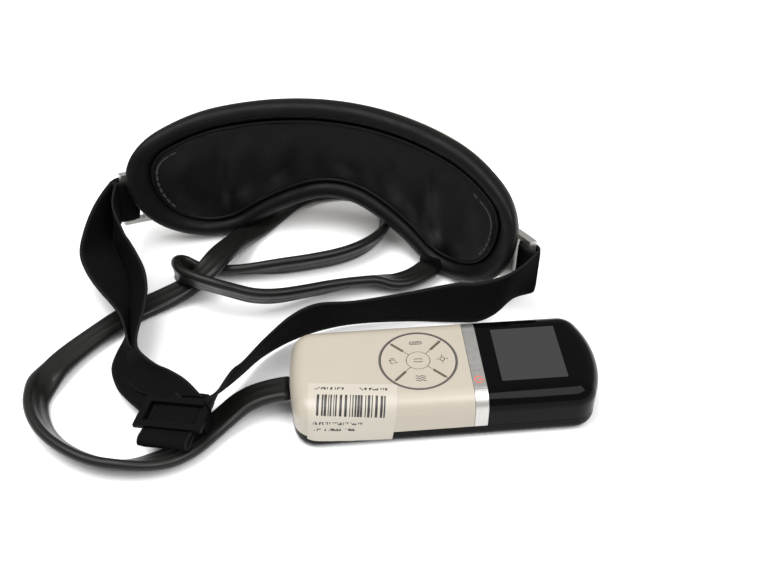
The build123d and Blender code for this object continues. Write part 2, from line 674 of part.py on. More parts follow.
def handset_gland():
    plug = gland_hole() & (handset_body() + block(-71.0, -64, -4, 4, 5, 20))
    plug = plug & block(-71.0, -64.0, -8, 8, 2, 22)
    flange = block(-67.2, -64.6, -6, 6, 5.0, 20.0) & handset_body(HANDSET_WALL + 0.2)
    return plug + flange


def handset_screws():
    screws = []
    for x, y in HANDSET_SCREWS:
        screws.append(rod(2.3, 1.2, 3.1, x, y) + rod(1.1, 3.1, 15, x, y))
    return Compound(screws)


# ---------------------------------------------------------------- writing the parts
def all_parts():
    parts = {
        "mask_shell": place_mask(mask_shell()),
        "mask_inner_frame": place_mask(mask_frame()),
        "strap_lug_right": place_mask(lug(1)),
        "strap_lug_left": place_mask(lug(-1)),
        "rim_cushion": place_mask(rim_cushion()),
        "eye_pad": place_mask(eye_pad()),
        "heater_film": place_mask(heater_film()),
        "mask_screws": place_mask(mask_screws()),
        "mask_junction_board": place_mask(junction_board()),
        "air_splitter": place_mask(air_splitter()),
        "mask_hose_gland": place_mask(mask_gland()),
        "strap_right": strap_right(),
        "strap_left": strap_left(),
        "strap_tail": strap_tail(),
        "strap_slider": strap_slider(),
        "air_hose": air_hose(),
        "handset_base": place_handset(handset_base()),
        "handset_front_cover": place_handset(front_cover()),
        "trim_band_near": place_handset(trim_band("near")),
        "trim_band_far": place_handset(trim_band("far")),
        "power_button": place_handset(power_button()),
        "display_hood": place_handset(display_hood()),
        "display_window": place_handset(display_window()),
        "lcd_module": place_handset(lcd_module()),
        "main_circuit_board": place_handset(circuit_board()),
        "key_switches": place_handset(key_switches()),
        "keypad_ring": place_handset(keypad_ring()),
        "key_centre": place_handset(centre_key()),
        "batteries": place_handset(batteries()),
        "battery_contacts": place_handset(battery_contacts()),
        "battery_springs": place_handset(battery_springs()),
        "battery_door": place_handset(battery_door()),
        "air_pump_motor": place_handset(pump_motor()),
        "air_pump_head": place_handset(pump_head()),
        "air_pump_crank": place_handset(pump_crank()),
        "air_release_valve": place_handset(release_valve()),
        "buzzer": place_handset(buzzer()),
        "handset_air_tube": place_handset(handset_air_tube()),
        "handset_hose_gland": place_handset(handset_gland()),
        "handset_screws": place_handset(handset_screws()),
    }
    for name in KEY_CENTRES:
        parts["key_" + name] = place_handset(direction_key(name))
    for side, word in ((-1, "left"), (1, "right")):
        parts["air_bladder_" + word] = place_mask(air_bladder(side))
        parts["vibration_motor_" + word] = place_mask(vibration_motor(side))
        parts["motor_weight_" + word] = place_mask(motor_weight(side))
        parts["mask_air_tube_" + word] = place_mask(mask_air_tube(side))
    return parts


def main():
    os.makedirs("parts", exist_ok=True)
    parts = all_parts()
    loose = [shape for name, shape in parts.items() if name != "air_hose"]
    box = Compound([solid for shape in loose for solid in shape.solids()]).bounding_box()
    print("box", [round(v, 2) for v in (*box.min, *box.max)])
    for name, shape in parts.items():
        export_step(shape, os.path.join("parts", name + ".step"))


if __name__ == "__main__":
    main()
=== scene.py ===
import bpy
import bmesh
import math
from mathutils import Matrix, Vector


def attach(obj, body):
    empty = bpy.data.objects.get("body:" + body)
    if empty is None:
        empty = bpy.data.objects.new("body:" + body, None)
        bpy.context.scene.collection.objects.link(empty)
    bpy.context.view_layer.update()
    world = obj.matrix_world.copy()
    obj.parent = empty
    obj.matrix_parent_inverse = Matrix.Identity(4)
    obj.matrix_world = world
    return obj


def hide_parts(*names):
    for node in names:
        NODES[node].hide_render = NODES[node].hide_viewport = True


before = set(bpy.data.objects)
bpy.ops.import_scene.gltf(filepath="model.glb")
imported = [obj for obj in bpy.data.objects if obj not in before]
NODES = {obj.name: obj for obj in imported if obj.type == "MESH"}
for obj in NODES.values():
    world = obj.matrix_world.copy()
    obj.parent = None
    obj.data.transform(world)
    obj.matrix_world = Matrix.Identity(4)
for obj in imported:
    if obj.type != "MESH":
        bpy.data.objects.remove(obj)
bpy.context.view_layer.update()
BODY = "massager"
MM = 0.001

# ---- places shared with the CAD, in millimetres ----
MASK_AT = (-16.1, 63.8, 0.3)
MASK_LEAN = 10.0
FACE_RADIUS = 136.0
HANDSET_AT = (64.9, -31.2)
HANDSET_YAW = 20.0
HANDSET_TOP = 25.0
KEYPAD_X = -12.0
SLIDER_AT = (-29.0, -148.0, 9.6)
SLIDER_YAW, SLIDER_ROLL = 3.0, -6.0
# (x, z) from the top's middle to the bottom's middle, joined by tangent arcs
HALF_OUTLINE = [(0, 79.5), (62, 73.4), (90.1, 62.5), (101.6, 43), (94, 15.6), (69.9, 0), (45, 6),
                (15, 22.8), (0, 25.8)]


def mask_place():
    shift = Matrix.Translation(Vector(MASK_AT) * MM)
    return shift @ Matrix.Rotation(math.radians(-MASK_LEAN), 4, "X")


def handset_place():
    shift = Matrix.Translation(Vector((HANDSET_AT[0], HANDSET_AT[1], 0)) * MM)
    return shift @ Matrix.Rotation(math.radians(HANDSET_YAW), 4, "Z")


# ---------------------------------------------------------------- camera, floor and light
# the one camera that fits the whole photo, in degrees, metres and millimetres
CAMERA_AZIMUTH, CAMERA_ELEVATION = 14.7, 42.0
CAMERA_DISTANCE = 0.52456
CAMERA_LENS, CAMERA_SENSOR = 46.875, 36.0
AIM_FROM_MASK = (35.5, -29.3)
WORLD_STRENGTH = 0.5


def make_camera():
    azimuth, elevation = math.radians(CAMERA_AZIMUTH), math.radians(CAMERA_ELEVATION)
    target = Vector((MASK_AT[0] + AIM_FROM_MASK[0], MASK_AT[1] + AIM_FROM_MASK[1], 0)) * MM
    back = Vector((math.sin(azimuth) * math.cos(elevation), -math.cos(azimuth) * math.cos(elevation),
                   math.sin(elevation)))
    data = bpy.data.cameras.new("camera")
    data.lens = CAMERA_LENS
    data.sensor_width = CAMERA_SENSOR
    data.clip_start, data.clip_end = 0.01, 20
    camera = bpy.data.objects.new("camera", data)
    camera.location = target + back * CAMERA_DISTANCE
    camera.rotation_euler = (-back).to_track_quat("-Z", "Y").to_euler()
    bpy.context.scene.collection.objects.link(camera)
    bpy.context.scene.camera = camera


def make_light(name, place, aim, size, power):
    data = bpy.data.lights.new(name, "AREA")
    data.energy = power
    data.size = size
    lamp = bpy.data.objects.new(name, data)
    lamp.location = place
    lamp.rotation_euler = (Vector(aim) - Vector(place)).to_track_quat("-Z", "Y").to_euler()
    bpy.context.scene.collection.objects.link(lamp)


def make_world():
    world = bpy.data.worlds.new("studio")
    world.use_nodes = True
    background = world.node_tree.nodes["Background"]
    background.inputs["Color"].default_value = (1.0, 1.0, 1.0, 1)
    background.inputs["Strength"].default_value = WORLD_STRENGTH
    bpy.context.scene.world = world
    bpy.context.scene.view_settings.view_transform = "Standard"


# ---------------------------------------------------------------- mesh helpers
def new_object(name, points, faces, smooth=True):
    mesh = bpy.data.meshes.new(name)
    mesh.from_pydata([tuple(p) for p in points], [], faces)
    mesh.update()
    for polygon in mesh.polygons:
        polygon.use_smooth = smooth
    piece = bpy.data.objects.new(name, mesh)
    bpy.context.scene.collection.objects.link(piece)
    return piece


def ring_faces(rings, size, closed):
    """Quads between rings of points; closed joins the last ring to the first."""
    faces = []
    for r in range(rings if closed else rings - 1):
        here, there = r * size, ((r + 1) % rings) * size
        for k in range(size):
            n = (k + 1) % size
            faces.append((here + k, here + n, there + n, there + k))
    return faces


def add_uv(piece, coordinates):
    """One (u, v) for each vertex."""
    layer = piece.data.uv_layers.new(name="UVMap")
    for loop in piece.data.loops:
        layer.data[loop.index].uv = coordinates[loop.vertex_index]


def fix_normals(piece):
    bm = bmesh.new()
    bm.from_mesh(piece.data)
    bmesh.ops.recalc_face_normals(bm, faces=bm.faces)
    bm.to_mesh(piece.data)
    bm.free()


def subdivide(piece, levels):
    modifier = piece.modifiers.new("subdivision", "SUBSURF")
    modifier.levels = levels
    modifier.render_levels = levels


def bevel(piece, width):
    modifier = piece.modifiers.new("bevel", "BEVEL")
    modifier.width = width
    modifier.segments = 3
    modifier.limit_method = "ANGLE"
    modifier.angle_limit = math.radians(30.0)
    modifier.harden_normals = True


def dress(piece, material, body=BODY):
    piece.data.materials.clear()
    piece.data.materials.append(material)
    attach(piece, body)


# ---------------------------------------------------------------- materials
class Paint:
    """A node material on one Principled shader, with the few helpers the pieces need."""

    def __init__(self, name, colour, roughness, **sockets):
        self.material = bpy.data.materials.new(name)
        self.material.use_nodes = True
        self.nodes = self.material.node_tree.nodes
        self.links = self.material.node_tree.links
        self.shader = self.nodes["Principled BSDF"]
        self.shader.inputs["Base Color"].default_value = (*colour, 1)
        self.shader.inputs["Roughness"].default_value = roughness
        for socket, value in sockets.items():
            self.shader.inputs[socket.replace("_", " ")].default_value = value
        self.normal = None

    def node(self, kind, **settings):
        made = self.nodes.new(kind)
        for key, value in settings.items():
            setattr(made, key, value)
        return made

    def place(self, source="Object", scale=(1, 1, 1)):
        coordinates = self.node("ShaderNodeTexCoord")
        mapping = self.node("ShaderNodeMapping")
        mapping.inputs["Scale"].default_value = scale
        self.links.new(coordinates.outputs[source], mapping.inputs["Vector"])
        return mapping.outputs["Vector"]

    def noise(self, scale, detail=2.0):
        made = self.node("ShaderNodeTexNoise")
        made.inputs["Scale"].default_value = scale
        made.inputs["Detail"].default_value = detail
        self.links.new(self.place(), made.inputs["Vector"])
        return made.outputs["Fac"]

    def cells(self, scale):
        made = self.node("ShaderNodeTexVoronoi")
        made.inputs["Scale"].default_value = scale
        self.links.new(self.place(), made.inputs["Vector"])
        return made.outputs["Distance"]

    def ramp(self, value, stops):
        made = self.node("ShaderNodeValToRGB")
        elements = made.color_ramp.elements
        while len(elements) < len(stops):
            elements.new(0.5)
        for element, (position, shade) in zip(elements, stops):
            element.position = position
            element.color = (*shade, 1) if hasattr(shade, "__len__") else (shade, shade, shade, 1)
        self.links.new(value, made.inputs["Fac"])
        return made.outputs["Color"]

    def maths(self, operation, first, second=None, third=None):
        made = self.node("ShaderNodeMath", operation=operation)
        for index, value in enumerate((first, second, third)):
            if value is None:
                continue
            if isinstance(value, (int, float)):
                made.inputs[index].default_value = value
            else:
                self.links.new(value, made.inputs[index])
        return made.outputs["Value"]

    def bump(self, height, distance, strength=1.0):
        """Adds a bump of that depth in metres on top of the ones already there."""
        made = self.node("ShaderNodeBump")
        made.inputs["Distance"].default_value = distance
        made.inputs["Strength"].default_value = strength
        self.links.new(height, made.inputs["Height"])
        if self.normal:
            self.links.new(self.normal, made.inputs["Normal"])
        self.normal = made.outputs["Normal"]
        self.links.new(self.normal, self.shader.inputs["Normal"])

    def colour(self, value):
        self.links.new(value, self.shader.inputs["Base Color"])

    def rough(self, value, low, high):
        self.links.new(self.ramp(value, [(0.3, low), (0.7, high)]), self.shader.inputs["Roughness"])


def cream_plastic():
    paint = Paint("cream_plastic", CREAM, 0.34, Coat_Weight=0.15, Coat_Roughness=0.2)
    mottle = paint.noise(38, 3)
    paint.colour(paint.ramp(mottle, [(0.3, [c * 0.965 for c in CREAM]), (0.7, CREAM)]))
    paint.rough(paint.noise(210, 4), 0.30, 0.42)
    paint.bump(paint.noise(2600, 2), 0.00001)
    return paint.material


def silver_plastic():
    paint = Paint("silver_plastic", SILVER, 0.34, Metallic=0.9)
    paint.colour(paint.ramp(paint.noise(700, 3), [(0.3, [c * 0.94 for c in SILVER]), (0.7, SILVER)]))
    paint.rough(paint.noise(500, 3), 0.32, 0.42)
    return paint.material


def gloss_black():
    paint = Paint("gloss_black", (0.0016, 0.0016, 0.0016), 0.06, Specular_IOR_Level=0.07)
    paint.rough(paint.noise(120, 4), 0.045, 0.085)
    paint.bump(paint.noise(30, 2), 0.00003)
    return paint.material


def satin_black():
    paint = Paint("satin_black", (0.0035, 0.0035, 0.0035), 0.3, Specular_IOR_Level=0.05)
    paint.rough(paint.noise(300, 4), 0.24, 0.36)
    paint.bump(paint.cells(2400), 0.000012)
    return paint.material


def window_glass():
    paint = Paint("window_glass", (0.030, 0.029, 0.029), 0.08, Specular_IOR_Level=0.3)
    paint.rough(paint.noise(60, 2), 0.06, 0.1)
    return paint.material


def leather():
    paint = Paint("soft_leather", LEATHER, 0.42, Specular_IOR_Level=0.1)
    paint.colour(paint.ramp(paint.noise(45, 4), [(0.3, [c * 0.8 for c in LEATHER]),
                                                 (0.7, [c * 1.25 for c in LEATHER])]))
    paint.rough(paint.noise(160, 4), 0.36, 0.52)
    paint.bump(paint.cells(1500), 0.00006, 0.6)
    paint.bump(paint.noise(130, 4), 0.00025, 0.7)
    paint.bump(paint.noise(34, 3), 0.0022, 0.55)
    return paint.material


def satin_lining():
    paint = Paint("satin_lining", LINING, 0.42, Specular_IOR_Level=0.15)
    paint.colour(paint.ramp(paint.noise(60, 3), [(0.3, [c * 0.8 for c in LINING]),
                                                 (0.7, [c * 1.2 for c in LINING])]))
    paint.rough(paint.noise(220, 3), 0.36, 0.5)
    across = paint.node("ShaderNodeTexWave", bands_direction="X")
    across.inputs["Scale"].default_value = 520
    paint.links.new(paint.place(), across.inputs["Vector"])
    up = paint.node("ShaderNodeTexWave", bands_direction="Z")
    up.inputs["Scale"].default_value = 520
    paint.links.new(paint.place(), up.inputs["Vector"])
    weave = paint.maths("MULTIPLY", across.outputs["Fac"], up.outputs["Fac"])
    paint.bump(weave, 0.00004, 0.5)
    paint.bump(paint.noise(70, 3), 0.0006, 0.5)
    return paint.material


def webbing():
    """Elastic webbing: u runs along the strap and v across it, both in metres."""
    row_pitch, cord_pitch = 0.00085, 0.0012
    paint = Paint("webbing", WEB, 0.85, Specular_IOR_Level=0.05)
    split = paint.node("ShaderNodeSeparateXYZ")
    paint.links.new(paint.place("UV"), split.inputs["Vector"])
    along = paint.maths("SINE", paint.maths("MULTIPLY", split.outputs["X"], 2 * math.pi / row_pitch))
    cords = paint.maths("SINE", paint.maths("MULTIPLY", split.outputs["Y"], 2 * math.pi / cord_pitch))
    knit = paint.maths("ADD", paint.maths("MULTIPLY", cords, 0.7), paint.maths("MULTIPLY", along, 0.5))
    paint.bump(knit, 0.00009, 0.7)
    # the two edges are paler; the ramp runs from the middle to 20 mm out
    edge = paint.maths("ABSOLUTE", split.outputs["Y"])
    pale, paler = [c * 3.2 for c in WEB], [c * 3.6 for c in WEB]
    shade = paint.ramp(paint.maths("MULTIPLY", edge, 50.0),
                       [(0.0, WEB), (0.52, WEB), (0.56, pale), (0.59, paler)])
    paint.colour(shade)
    return paint.material


def hose_vinyl():
    paint = Paint("hose_vinyl", HOSE, 0.4, Specular_IOR_Level=0.22)
    paint.colour(paint.ramp(paint.noise(55, 3), [(0.3, [c * 0.85 for c in HOSE]),
                                                 (0.7, [c * 1.2 for c in HOSE])]))
    paint.rough(paint.noise(120, 4), 0.28, 0.44)
    paint.bump(paint.noise(900, 3), 0.00002)
    return paint.material


def speckled(name, colour, roughness, metallic=0.0):
    """Plain moulded, plated or printed surface with slight variation, for the inner pieces."""
    paint = Paint(name, colour, roughness, Metallic=metallic)
    paint.colour(paint.ramp(paint.noise(180, 3), [(0.3, [c * 0.85 for c in colour]), (0.7, colour)]))
    paint.bump(paint.noise(1500, 2), 0.00001)
    return paint.material


# linear colours
CREAM = (0.375, 0.338, 0.278)
LABEL = (0.415, 0.382, 0.325)
SILVER = (0.50, 0.49, 0.47)
LEATHER = (0.0042, 0.0040, 0.0038)
LINING = (0.0030, 0.0028, 0.0028)
WEB = (0.0034, 0.0032, 0.0032)
HOSE = (0.0065, 0.0065, 0.0058)


# ---------------------------------------------------------------- the hose
# the hose's corners, close to the CAD's own and raised where the flat hose stands on edge;
# the last number is the bank of its flat side, in degrees from level
HOSE_ROUTE = [(14.3, -119.3, 12.5, -3), (-1, -124.5, 11, -6), (-13, -141, 4.4, -12), (-22, -163.5, 4.0, -20),
              (-48, -178.5, 6.9, -56), (-80.5, -171.5, 7.3, -62), (-99.6, -151.0, 6.8, -56),
              (-100.6, -128.0, 4.8, 2), (-92.8, -103.2, 3.7, 9), (-81.8, -82.6, 3.2, -2),
              (-70.2, -69, 3.4, -2), (-59.8, -59.5, 6.5, 0),
              (-52, -52.6, 14.0, 4), (-49.3, -37.9, 14.5, 0), (-48.9, -12.9, 4.2, -2), (-42, 4, 3.0, -2),
              (-32, 35, 3.3, -4), (-3, 49, 4.4, -22), (22, 36, 6.2, -48), (27, 10, 7.4, -62),
              (16, -14, 7.6, -66), (-14.5, -32, 7.4, -64), (-43.3, -41, 5.4, -42), (-58.7, -44.7, 5.8, -44),
              (-70.2, -55, 13.5, -90), (-56.5, -67.9, 20.0, -112), (-35.8, -69.4, 18.5, -118),
              (-17.6, -64.4, 11.5, -120), (5, -47, 8.0, -124), (28.5, -30.5, 6.8, -140),
              (47.5, -28.0, 5.0, -168), (56.0, -12.3, 5.0, -180)]
HOSE_WIDTH, HOSE_THICK = 14.0, 4.8
# the section's share of full thickness in the grooves between its lobes
HOSE_GROOVE = 0.92


def hose_line():
    """The hose's centreline: a NURBS curve through the route, and the points along it."""
    curve = bpy.data.curves.new("hose_line", "CURVE")
    curve.dimensions = "3D"
    spline = curve.splines.new("NURBS")
    spline.points.add(len(HOSE_ROUTE) - 1)
    for point, (x, y, z, _) in zip(spline.points, HOSE_ROUTE):
        point.co = ((x + MASK_AT[0]) * MM, (y + MASK_AT[1]) * MM, z * MM, 1)
    spline.order_u = 3
    spline.use_endpoint_u = True
    spline.resolution_u = 12
    line = bpy.data.objects.new("hose_line", curve)
    bpy.context.scene.collection.objects.link(line)
    bpy.context.view_layer.update()
    mesh = bpy.data.meshes.new_from_object(line.evaluated_get(bpy.context.evaluated_depsgraph_get()))
    points = [v.co.copy() for v in mesh.vertices]
    bpy.data.objects.remove(line)
    bpy.data.meshes.remove(mesh)
    return points


def hose_section():
    """Flat three-lobed section: (across, through) in millimetres."""
    lobe = HOSE_THICK / 2
    centres = (-(HOSE_WIDTH / 2 - lobe), 0.0, HOSE_WIDTH / 2 - lobe)
    half = []
    steps = 22
    for k in range(steps + 1):
        x = -math.cos(math.pi * k / steps) * HOSE_WIDTH / 2
        reach = max(max(0.0, lobe * lobe - (x - c) ** 2) for c in centres)
        edge = abs(x) > centres[2]
        half.append((x, math.sqrt(reach) if edge else max(math.sqrt(reach), lobe * HOSE_GROOVE)))
    return half + [(x, -y) for x, y in reversed(half[1:-1])]


def make_hose():
    """The flat hose: one ring of points at each point of its line, banked as the route says."""
    points = hose_line()
    section = hose_section()
    rings = []
    uvs = []
    travelled = 0.0
    for index, point in enumerate(points):
        before, after = points[max(index - 1, 0)], points[min(index + 1, len(points) - 1)]
        travelled += (point - before).length
        along = (after - before).normalized()
        side = along.cross(Vector((0, 0, 1))).normalized()
        lift = side.cross(along)
        # the curve's knots stand halfway between the route's corners
        place = 0.5 + index / (len(points) - 1) * (len(HOSE_ROUTE) - 2)
        low = min(int(place), len(HOSE_ROUTE) - 2)
        share = place - low
        share = share * share * (3 - 2 * share)
        bank = math.radians(HOSE_ROUTE[low][3] * (1 - share) + HOSE_ROUTE[low + 1][3] * share)
        wide = side * math.cos(bank) + lift * math.sin(bank)
        thin = lift * math.cos(bank) - side * math.sin(bank)
        for across, through in section:
            rings.append(point + wide * across * MM + thin * through * MM)
            uvs.append((travelled, across * MM))
    size = len(section)
    faces = ring_faces(len(points), size, closed=False)
    faces += [tuple(range(size))[::-1], tuple(range((len(points) - 1) * size, len(points) * size))]
    hose = new_object("air_hose_skin", rings, faces)
    add_uv(hose, uvs)
    fix_normals(hose)
    dress(hose, hose_vinyl())
    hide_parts("air_hose")


# ---------------------------------------------------------------- the mask
MASK_PLACE = mask_place()


def outline_loop(step=2.0):
    """The mask's outline as (x, z, inward x, inward z), all the way round."""
    half = []
    heading = Vector((1.0, 0.0))
    for start, end in zip(HALF_OUTLINE, HALF_OUTLINE[1:]):
        start, end = Vector(start), Vector(end)
        chord = end - start
        left = Vector((-heading.y, heading.x))
        bend = 2 * chord.dot(left) / chord.length_squared
        turn = 2 * math.asin(bend * chord.length / 2) if abs(bend) > 1e-6 else 0.0
        count = max(2, round(chord.length / step))
        for k in range(count):
            angle = turn * k / count
            if abs(bend) > 1e-6:
                place = start + heading * math.sin(angle) / bend + left * (1 - math.cos(angle)) / bend
            else:
                place = start + chord * k / count
            way = heading * math.cos(angle) + left * math.sin(angle)
            half.append((place.x, place.y, way.y, -way.x))
        heading = heading * math.cos(turn) + left * math.sin(turn)
    last = HALF_OUTLINE[-1]
    other = [(-x, z, -nx, nz) for x, z, nx, nz in half[1:]]
    return half + [(last[0], last[1], 0.0, 1.0)] + other[::-1]


def face_point(x, z, depth):
    """A point on the face's curve, depth behind its front, in the row frame."""
    y = -FACE_RADIUS + math.sqrt((FACE_RADIUS + depth) ** 2 - x * x)
    return MASK_PLACE @ (Vector((x, y, z)) * MM)


def sweep_round(name, profile):
    """A closed tube round the mask's outline; profile is (inset, depth) in millimetres."""
    loop = outline_loop()
    points = []
    uvs = []
    travelled = 0.0
    for index, (x, z, nx, nz) in enumerate(loop):
        px, pz = loop[index - 1][:2]
        travelled += math.hypot(x - px, z - pz) if index else 0.0
        for inset, depth in profile:
            points.append(face_point(x + nx * inset, z + nz * inset, depth))
            uvs.append((travelled * MM, inset * MM))
    piece = new_object(name, points, ring_faces(len(loop), len(profile), closed=True))
    add_uv(piece, uvs)
    fix_normals(piece)
    return piece


def make_rim():
    """The padded roll and, inside it, a thin welt; outlines are (inset, depth)."""
    roll = [(0.4, 10.2), (-0.35, 7.8), (-0.3, 4.8), (0.6, 2.2), (2.6, 0.5), (4.9, 0.0), (7.0, 0.7),
            (8.7, 2.5), (9.5, 4.8), (9.6, 7.2), (8.6, 9.4), (5.0, 10.1)]
    rim = sweep_round("rim_roll", roll)
    subdivide(rim, 2)
    dress(rim, leather())
    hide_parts("rim_cushion")
    piping = [(10.9 + 1.2 * math.cos(a), 3.6 + 1.3 * math.sin(a))
              for a in [math.pi * k / 4 for k in range(8)]]
    welt = sweep_round("rim_welt", piping)
    subdivide(welt, 1)
    dress(welt, leather())


def inset_loop(inset):
    return [(x + nx * inset, z + nz * inset) for x, z, nx, nz in outline_loop(3.0)]


# the lining, in millimetres: depths of its front and back, and of the block it is remeshed as
LINER_FRONT, LINER_BACK, LINER_BLOCK = 2.8, 5.4, 12.0
LINER_INSET = 10.6
LINER_SWELL = 2.4
# the cloth simulation's pressure, the furthest that a point may move in metres, and its frames
LINER_PRESSURE, LINER_REACH, LINER_FRAMES = 3.0, 0.006, 20
FOLD_GAIN = 1.35
# (x at mid height, lean, width, depth): negative is a crease
FOLDS = [(-69, 0.12, 3.0, -1.3), (-61, 0.08, 3.4, -2.6), (-53, 0.05, 5.0, 1.5), (-41, 0.10, 3.6, -1.0),
         (-32, 0.12, 5.0, 1.2), (-22, 0.15, 3.6, -1.9), (-6, 0.1, 4.4, -1.3), (5, 0.0, 5.0, 0.9),
         (15, -0.05, 3.6, -1.0), (27, 0.0, 3.8, -1.7), (37, -0.05, 5.0, 0.9), (50, -0.08, 3.4, -2.6),
         (58, -0.1, 6.0, 1.4), (74, -0.12, 3.6, -1.3), (-80, 0.1, 5.0, 0.8)]


def fold_depth(x, z):
    """Soft vertical folds of the lining, in millimetres towards the wearer."""
    total = 0.0
    for centre, lean, width, depth in FOLDS:
        offset = x - centre - lean * (z - 45)
        total += depth * math.exp(-(offset / width) ** 2)
    return FOLD_GAIN * total


def apply_modifiers(piece):
    bpy.context.view_layer.update()
    evaluated = piece.evaluated_get(bpy.context.evaluated_depsgraph_get())
    mesh = bpy.data.meshes.new_from_object(evaluated)
    piece.modifiers.clear()
    piece.data = mesh


def make_liner():
    """The lining: a flat pad cut to the inside of the rim, bent to the face, with its border held."""
    edge = inset_loop(LINER_INSET)
    count = len(edge)
    points = [Vector((x, y, z)) * MM for y in (0.0, LINER_BLOCK) for x, z in edge]
    faces = [tuple(range(count)), tuple(range(count, 2 * count))[::-1]]
    faces += [(k, (k + 1) % count, count + (k + 1) % count, count + k) for k in range(count)]
    pad = new_object("eye_lining", points, faces)
    fix_normals(pad)
    remesh = pad.modifiers.new("remesh", "REMESH")
    remesh.mode = "VOXEL"
    remesh.voxel_size = 4 * MM
    apply_modifiers(pad)
    thin = (LINER_BACK - LINER_FRONT) / LINER_BLOCK
    border = [Vector(p) * MM for p in edge]
    held = pad.vertex_groups.new(name="held")
    for vertex in pad.data.vertices:
        x, depth, z = vertex.co / MM
        depth = LINER_FRONT + min(max(depth, 0.0), LINER_BLOCK) * thin
        reach = min((Vector((x, z)) * MM - point).length for point in border)
        rise = min(1.0, max(0.0, reach - 0.002) / 0.012)
        rise = rise * rise * (3 - 2 * rise)
        front = depth < (LINER_FRONT + LINER_BACK) / 2
        lift = (LINER_SWELL + fold_depth(x, z)) * rise if front else 0.0
        vertex.co = face_point(x, z, depth - lift)
        held.add([vertex.index], 0.0 if front and reach > 0.004 else 1.0, "REPLACE")
    return pad


def add_cloth(pad, slack):
    """Thin filled cloth whose rest shape is the slack shape key, held by the held group."""
    cloth = pad.modifiers.new("cloth", "CLOTH")
    settings = cloth.settings
    settings.quality = 6
    settings.mass = 0.15
    settings.tension_stiffness = 12
    settings.compression_stiffness = 12
    settings.bending_stiffness = 0.15
    settings.rest_shape_key = slack
    settings.vertex_group_mass = "held"
    settings.pin_stiffness = 1.0
    settings.use_pressure = True
    settings.uniform_pressure_force = LINER_PRESSURE
    settings.effector_weights.gravity = 0.0
    cloth.collision_settings.use_collision = False
    cloth.point_cache.frame_start, cloth.point_cache.frame_end = 1, LINER_FRAMES


def fill_liner(pad):
    """Short cloth simulation: slightly too much cloth, held at its border and lightly filled."""
    before = [vertex.co.copy() for vertex in pad.data.vertices]
    pad.shape_key_add(name="Basis")
    slack = pad.shape_key_add(name="slack")
    for vertex, point in zip(pad.data.vertices, slack.data):
        point.co = Vector((vertex.co.x * 1.07, vertex.co.y, vertex.co.z * 1.02))
    slack.value = 0.0
    add_cloth(pad, slack)
    scene = bpy.context.scene
    for number in range(1, LINER_FRAMES + 1):
        scene.frame_set(number)
    evaluated = pad.evaluated_get(bpy.context.evaluated_depsgraph_get())
    after = [vertex.co.copy() for vertex in evaluated.data.vertices]
    pad.modifiers.clear()
    pad.shape_key_clear()
    scene.frame_set(1)
    for vertex, old, new in zip(pad.data.vertices, before, after):
        move = new - old
        if move.length > LINER_REACH:
            move = move.normalized() * LINER_REACH
        vertex.co = old + move


def finish_liner(pad):
    fill_liner(pad)
    for polygon in pad.data.polygons:
        polygon.use_smooth = True
    subdivide(pad, 1)
    dress(pad, satin_lining())
    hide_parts("eye_pad")


STITCH_LENGTH, STITCH_WIDTH, STITCH_PITCH = 2.6, 0.6, 4.6
STITCH_INSET = 13.6


def make_stitches():
    """Short dashes of thread beside the welt at the two outer ends."""
    half_length, half_width = STITCH_LENGTH / 2, STITCH_WIDTH / 2
    points, faces, uvs = [], [], []
    loop = outline_loop(1.0)
    travelled = 0.0
    for index in range(1, len(loop)):
        x, z, nx, nz = loop[index]
        travelled += math.hypot(x - loop[index - 1][0], z - loop[index - 1][1])
        if travelled < STITCH_PITCH or abs(x) < 82 or not 14 < z < 66:
            continue
        travelled = 0.0
        tx, tz = -nz, nx
        start = len(points)
        for along, across in ((-half_length, -half_width), (half_length, -half_width),
                              (half_length, half_width), (-half_length, half_width)):
            inset = STITCH_INSET + across
            for depth in (0.2, 0.8):
                points.append(face_point(x + nx * inset + tx * along, z + nz * inset + tz * along, depth))
                uvs.append((along * MM, across * MM))
        faces += [(start, start + 2, start + 4, start + 6), (start + 7, start + 5, start + 3, start + 1)]
        for k in range(4):
            a, b = start + 2 * k, start + 2 * ((k + 1) % 4)
            faces.append((a, a + 1, b + 1, b))
    stitches = new_object("lining_stitches", points, faces, smooth=False)
    add_uv(stitches, uvs)
    fix_normals(stitches)
    dress(stitches, speckled("stitch_thread", (0.03, 0.03, 0.03), 0.6))


# ---------------------------------------------------------------- straps
# (lower edge, upper edge) stations in the mask's upright frame, in millimetres
RIGHT_STRAP = [((112.3, -33.0, 18.0), (112.6, -29.0, 42.0)),
               ((103.5, -35.5, 14.5), (106.0, -38.5, 38.3)),
               ((96.0, -42.0, 8.0), (97.5, -41.0, 32.0)),
               ((88.0, -44.8, 3.4), (86.0, -42.8, 27.2)),
               ((78.0, -46.0, 1.6), (75.5, -44.0, 25.4)),
               ((55.0, -51.0, 1.4), (54.0, -56.0, 24.8)),
               ((30.0, -59.5, 1.6), (31.0, -67.5, 24.0)),
               ((14.0, -68.5, 1.6), (14.5, -74.5, 24.8)),
               ((1.0, -80.5, 1.8), (5.0, -85.5, 24.8)),
               ((-8.5, -95.0, 2.2), (-2.0, -102.5, 24.4)),
               ((-13.0, -109.5, 4.0), (-6.3, -119.3, 24.9)),
               ((-15.6, -119.5, 6.2), (-8.6, -128.0, 26.6)),
               ((-18.4, -129.0, 9.0), (-10.0, -138.5, 25.5)),
               ((-23.0, -135.5, 11.5), (-13.0, -145.5, 20.5))]
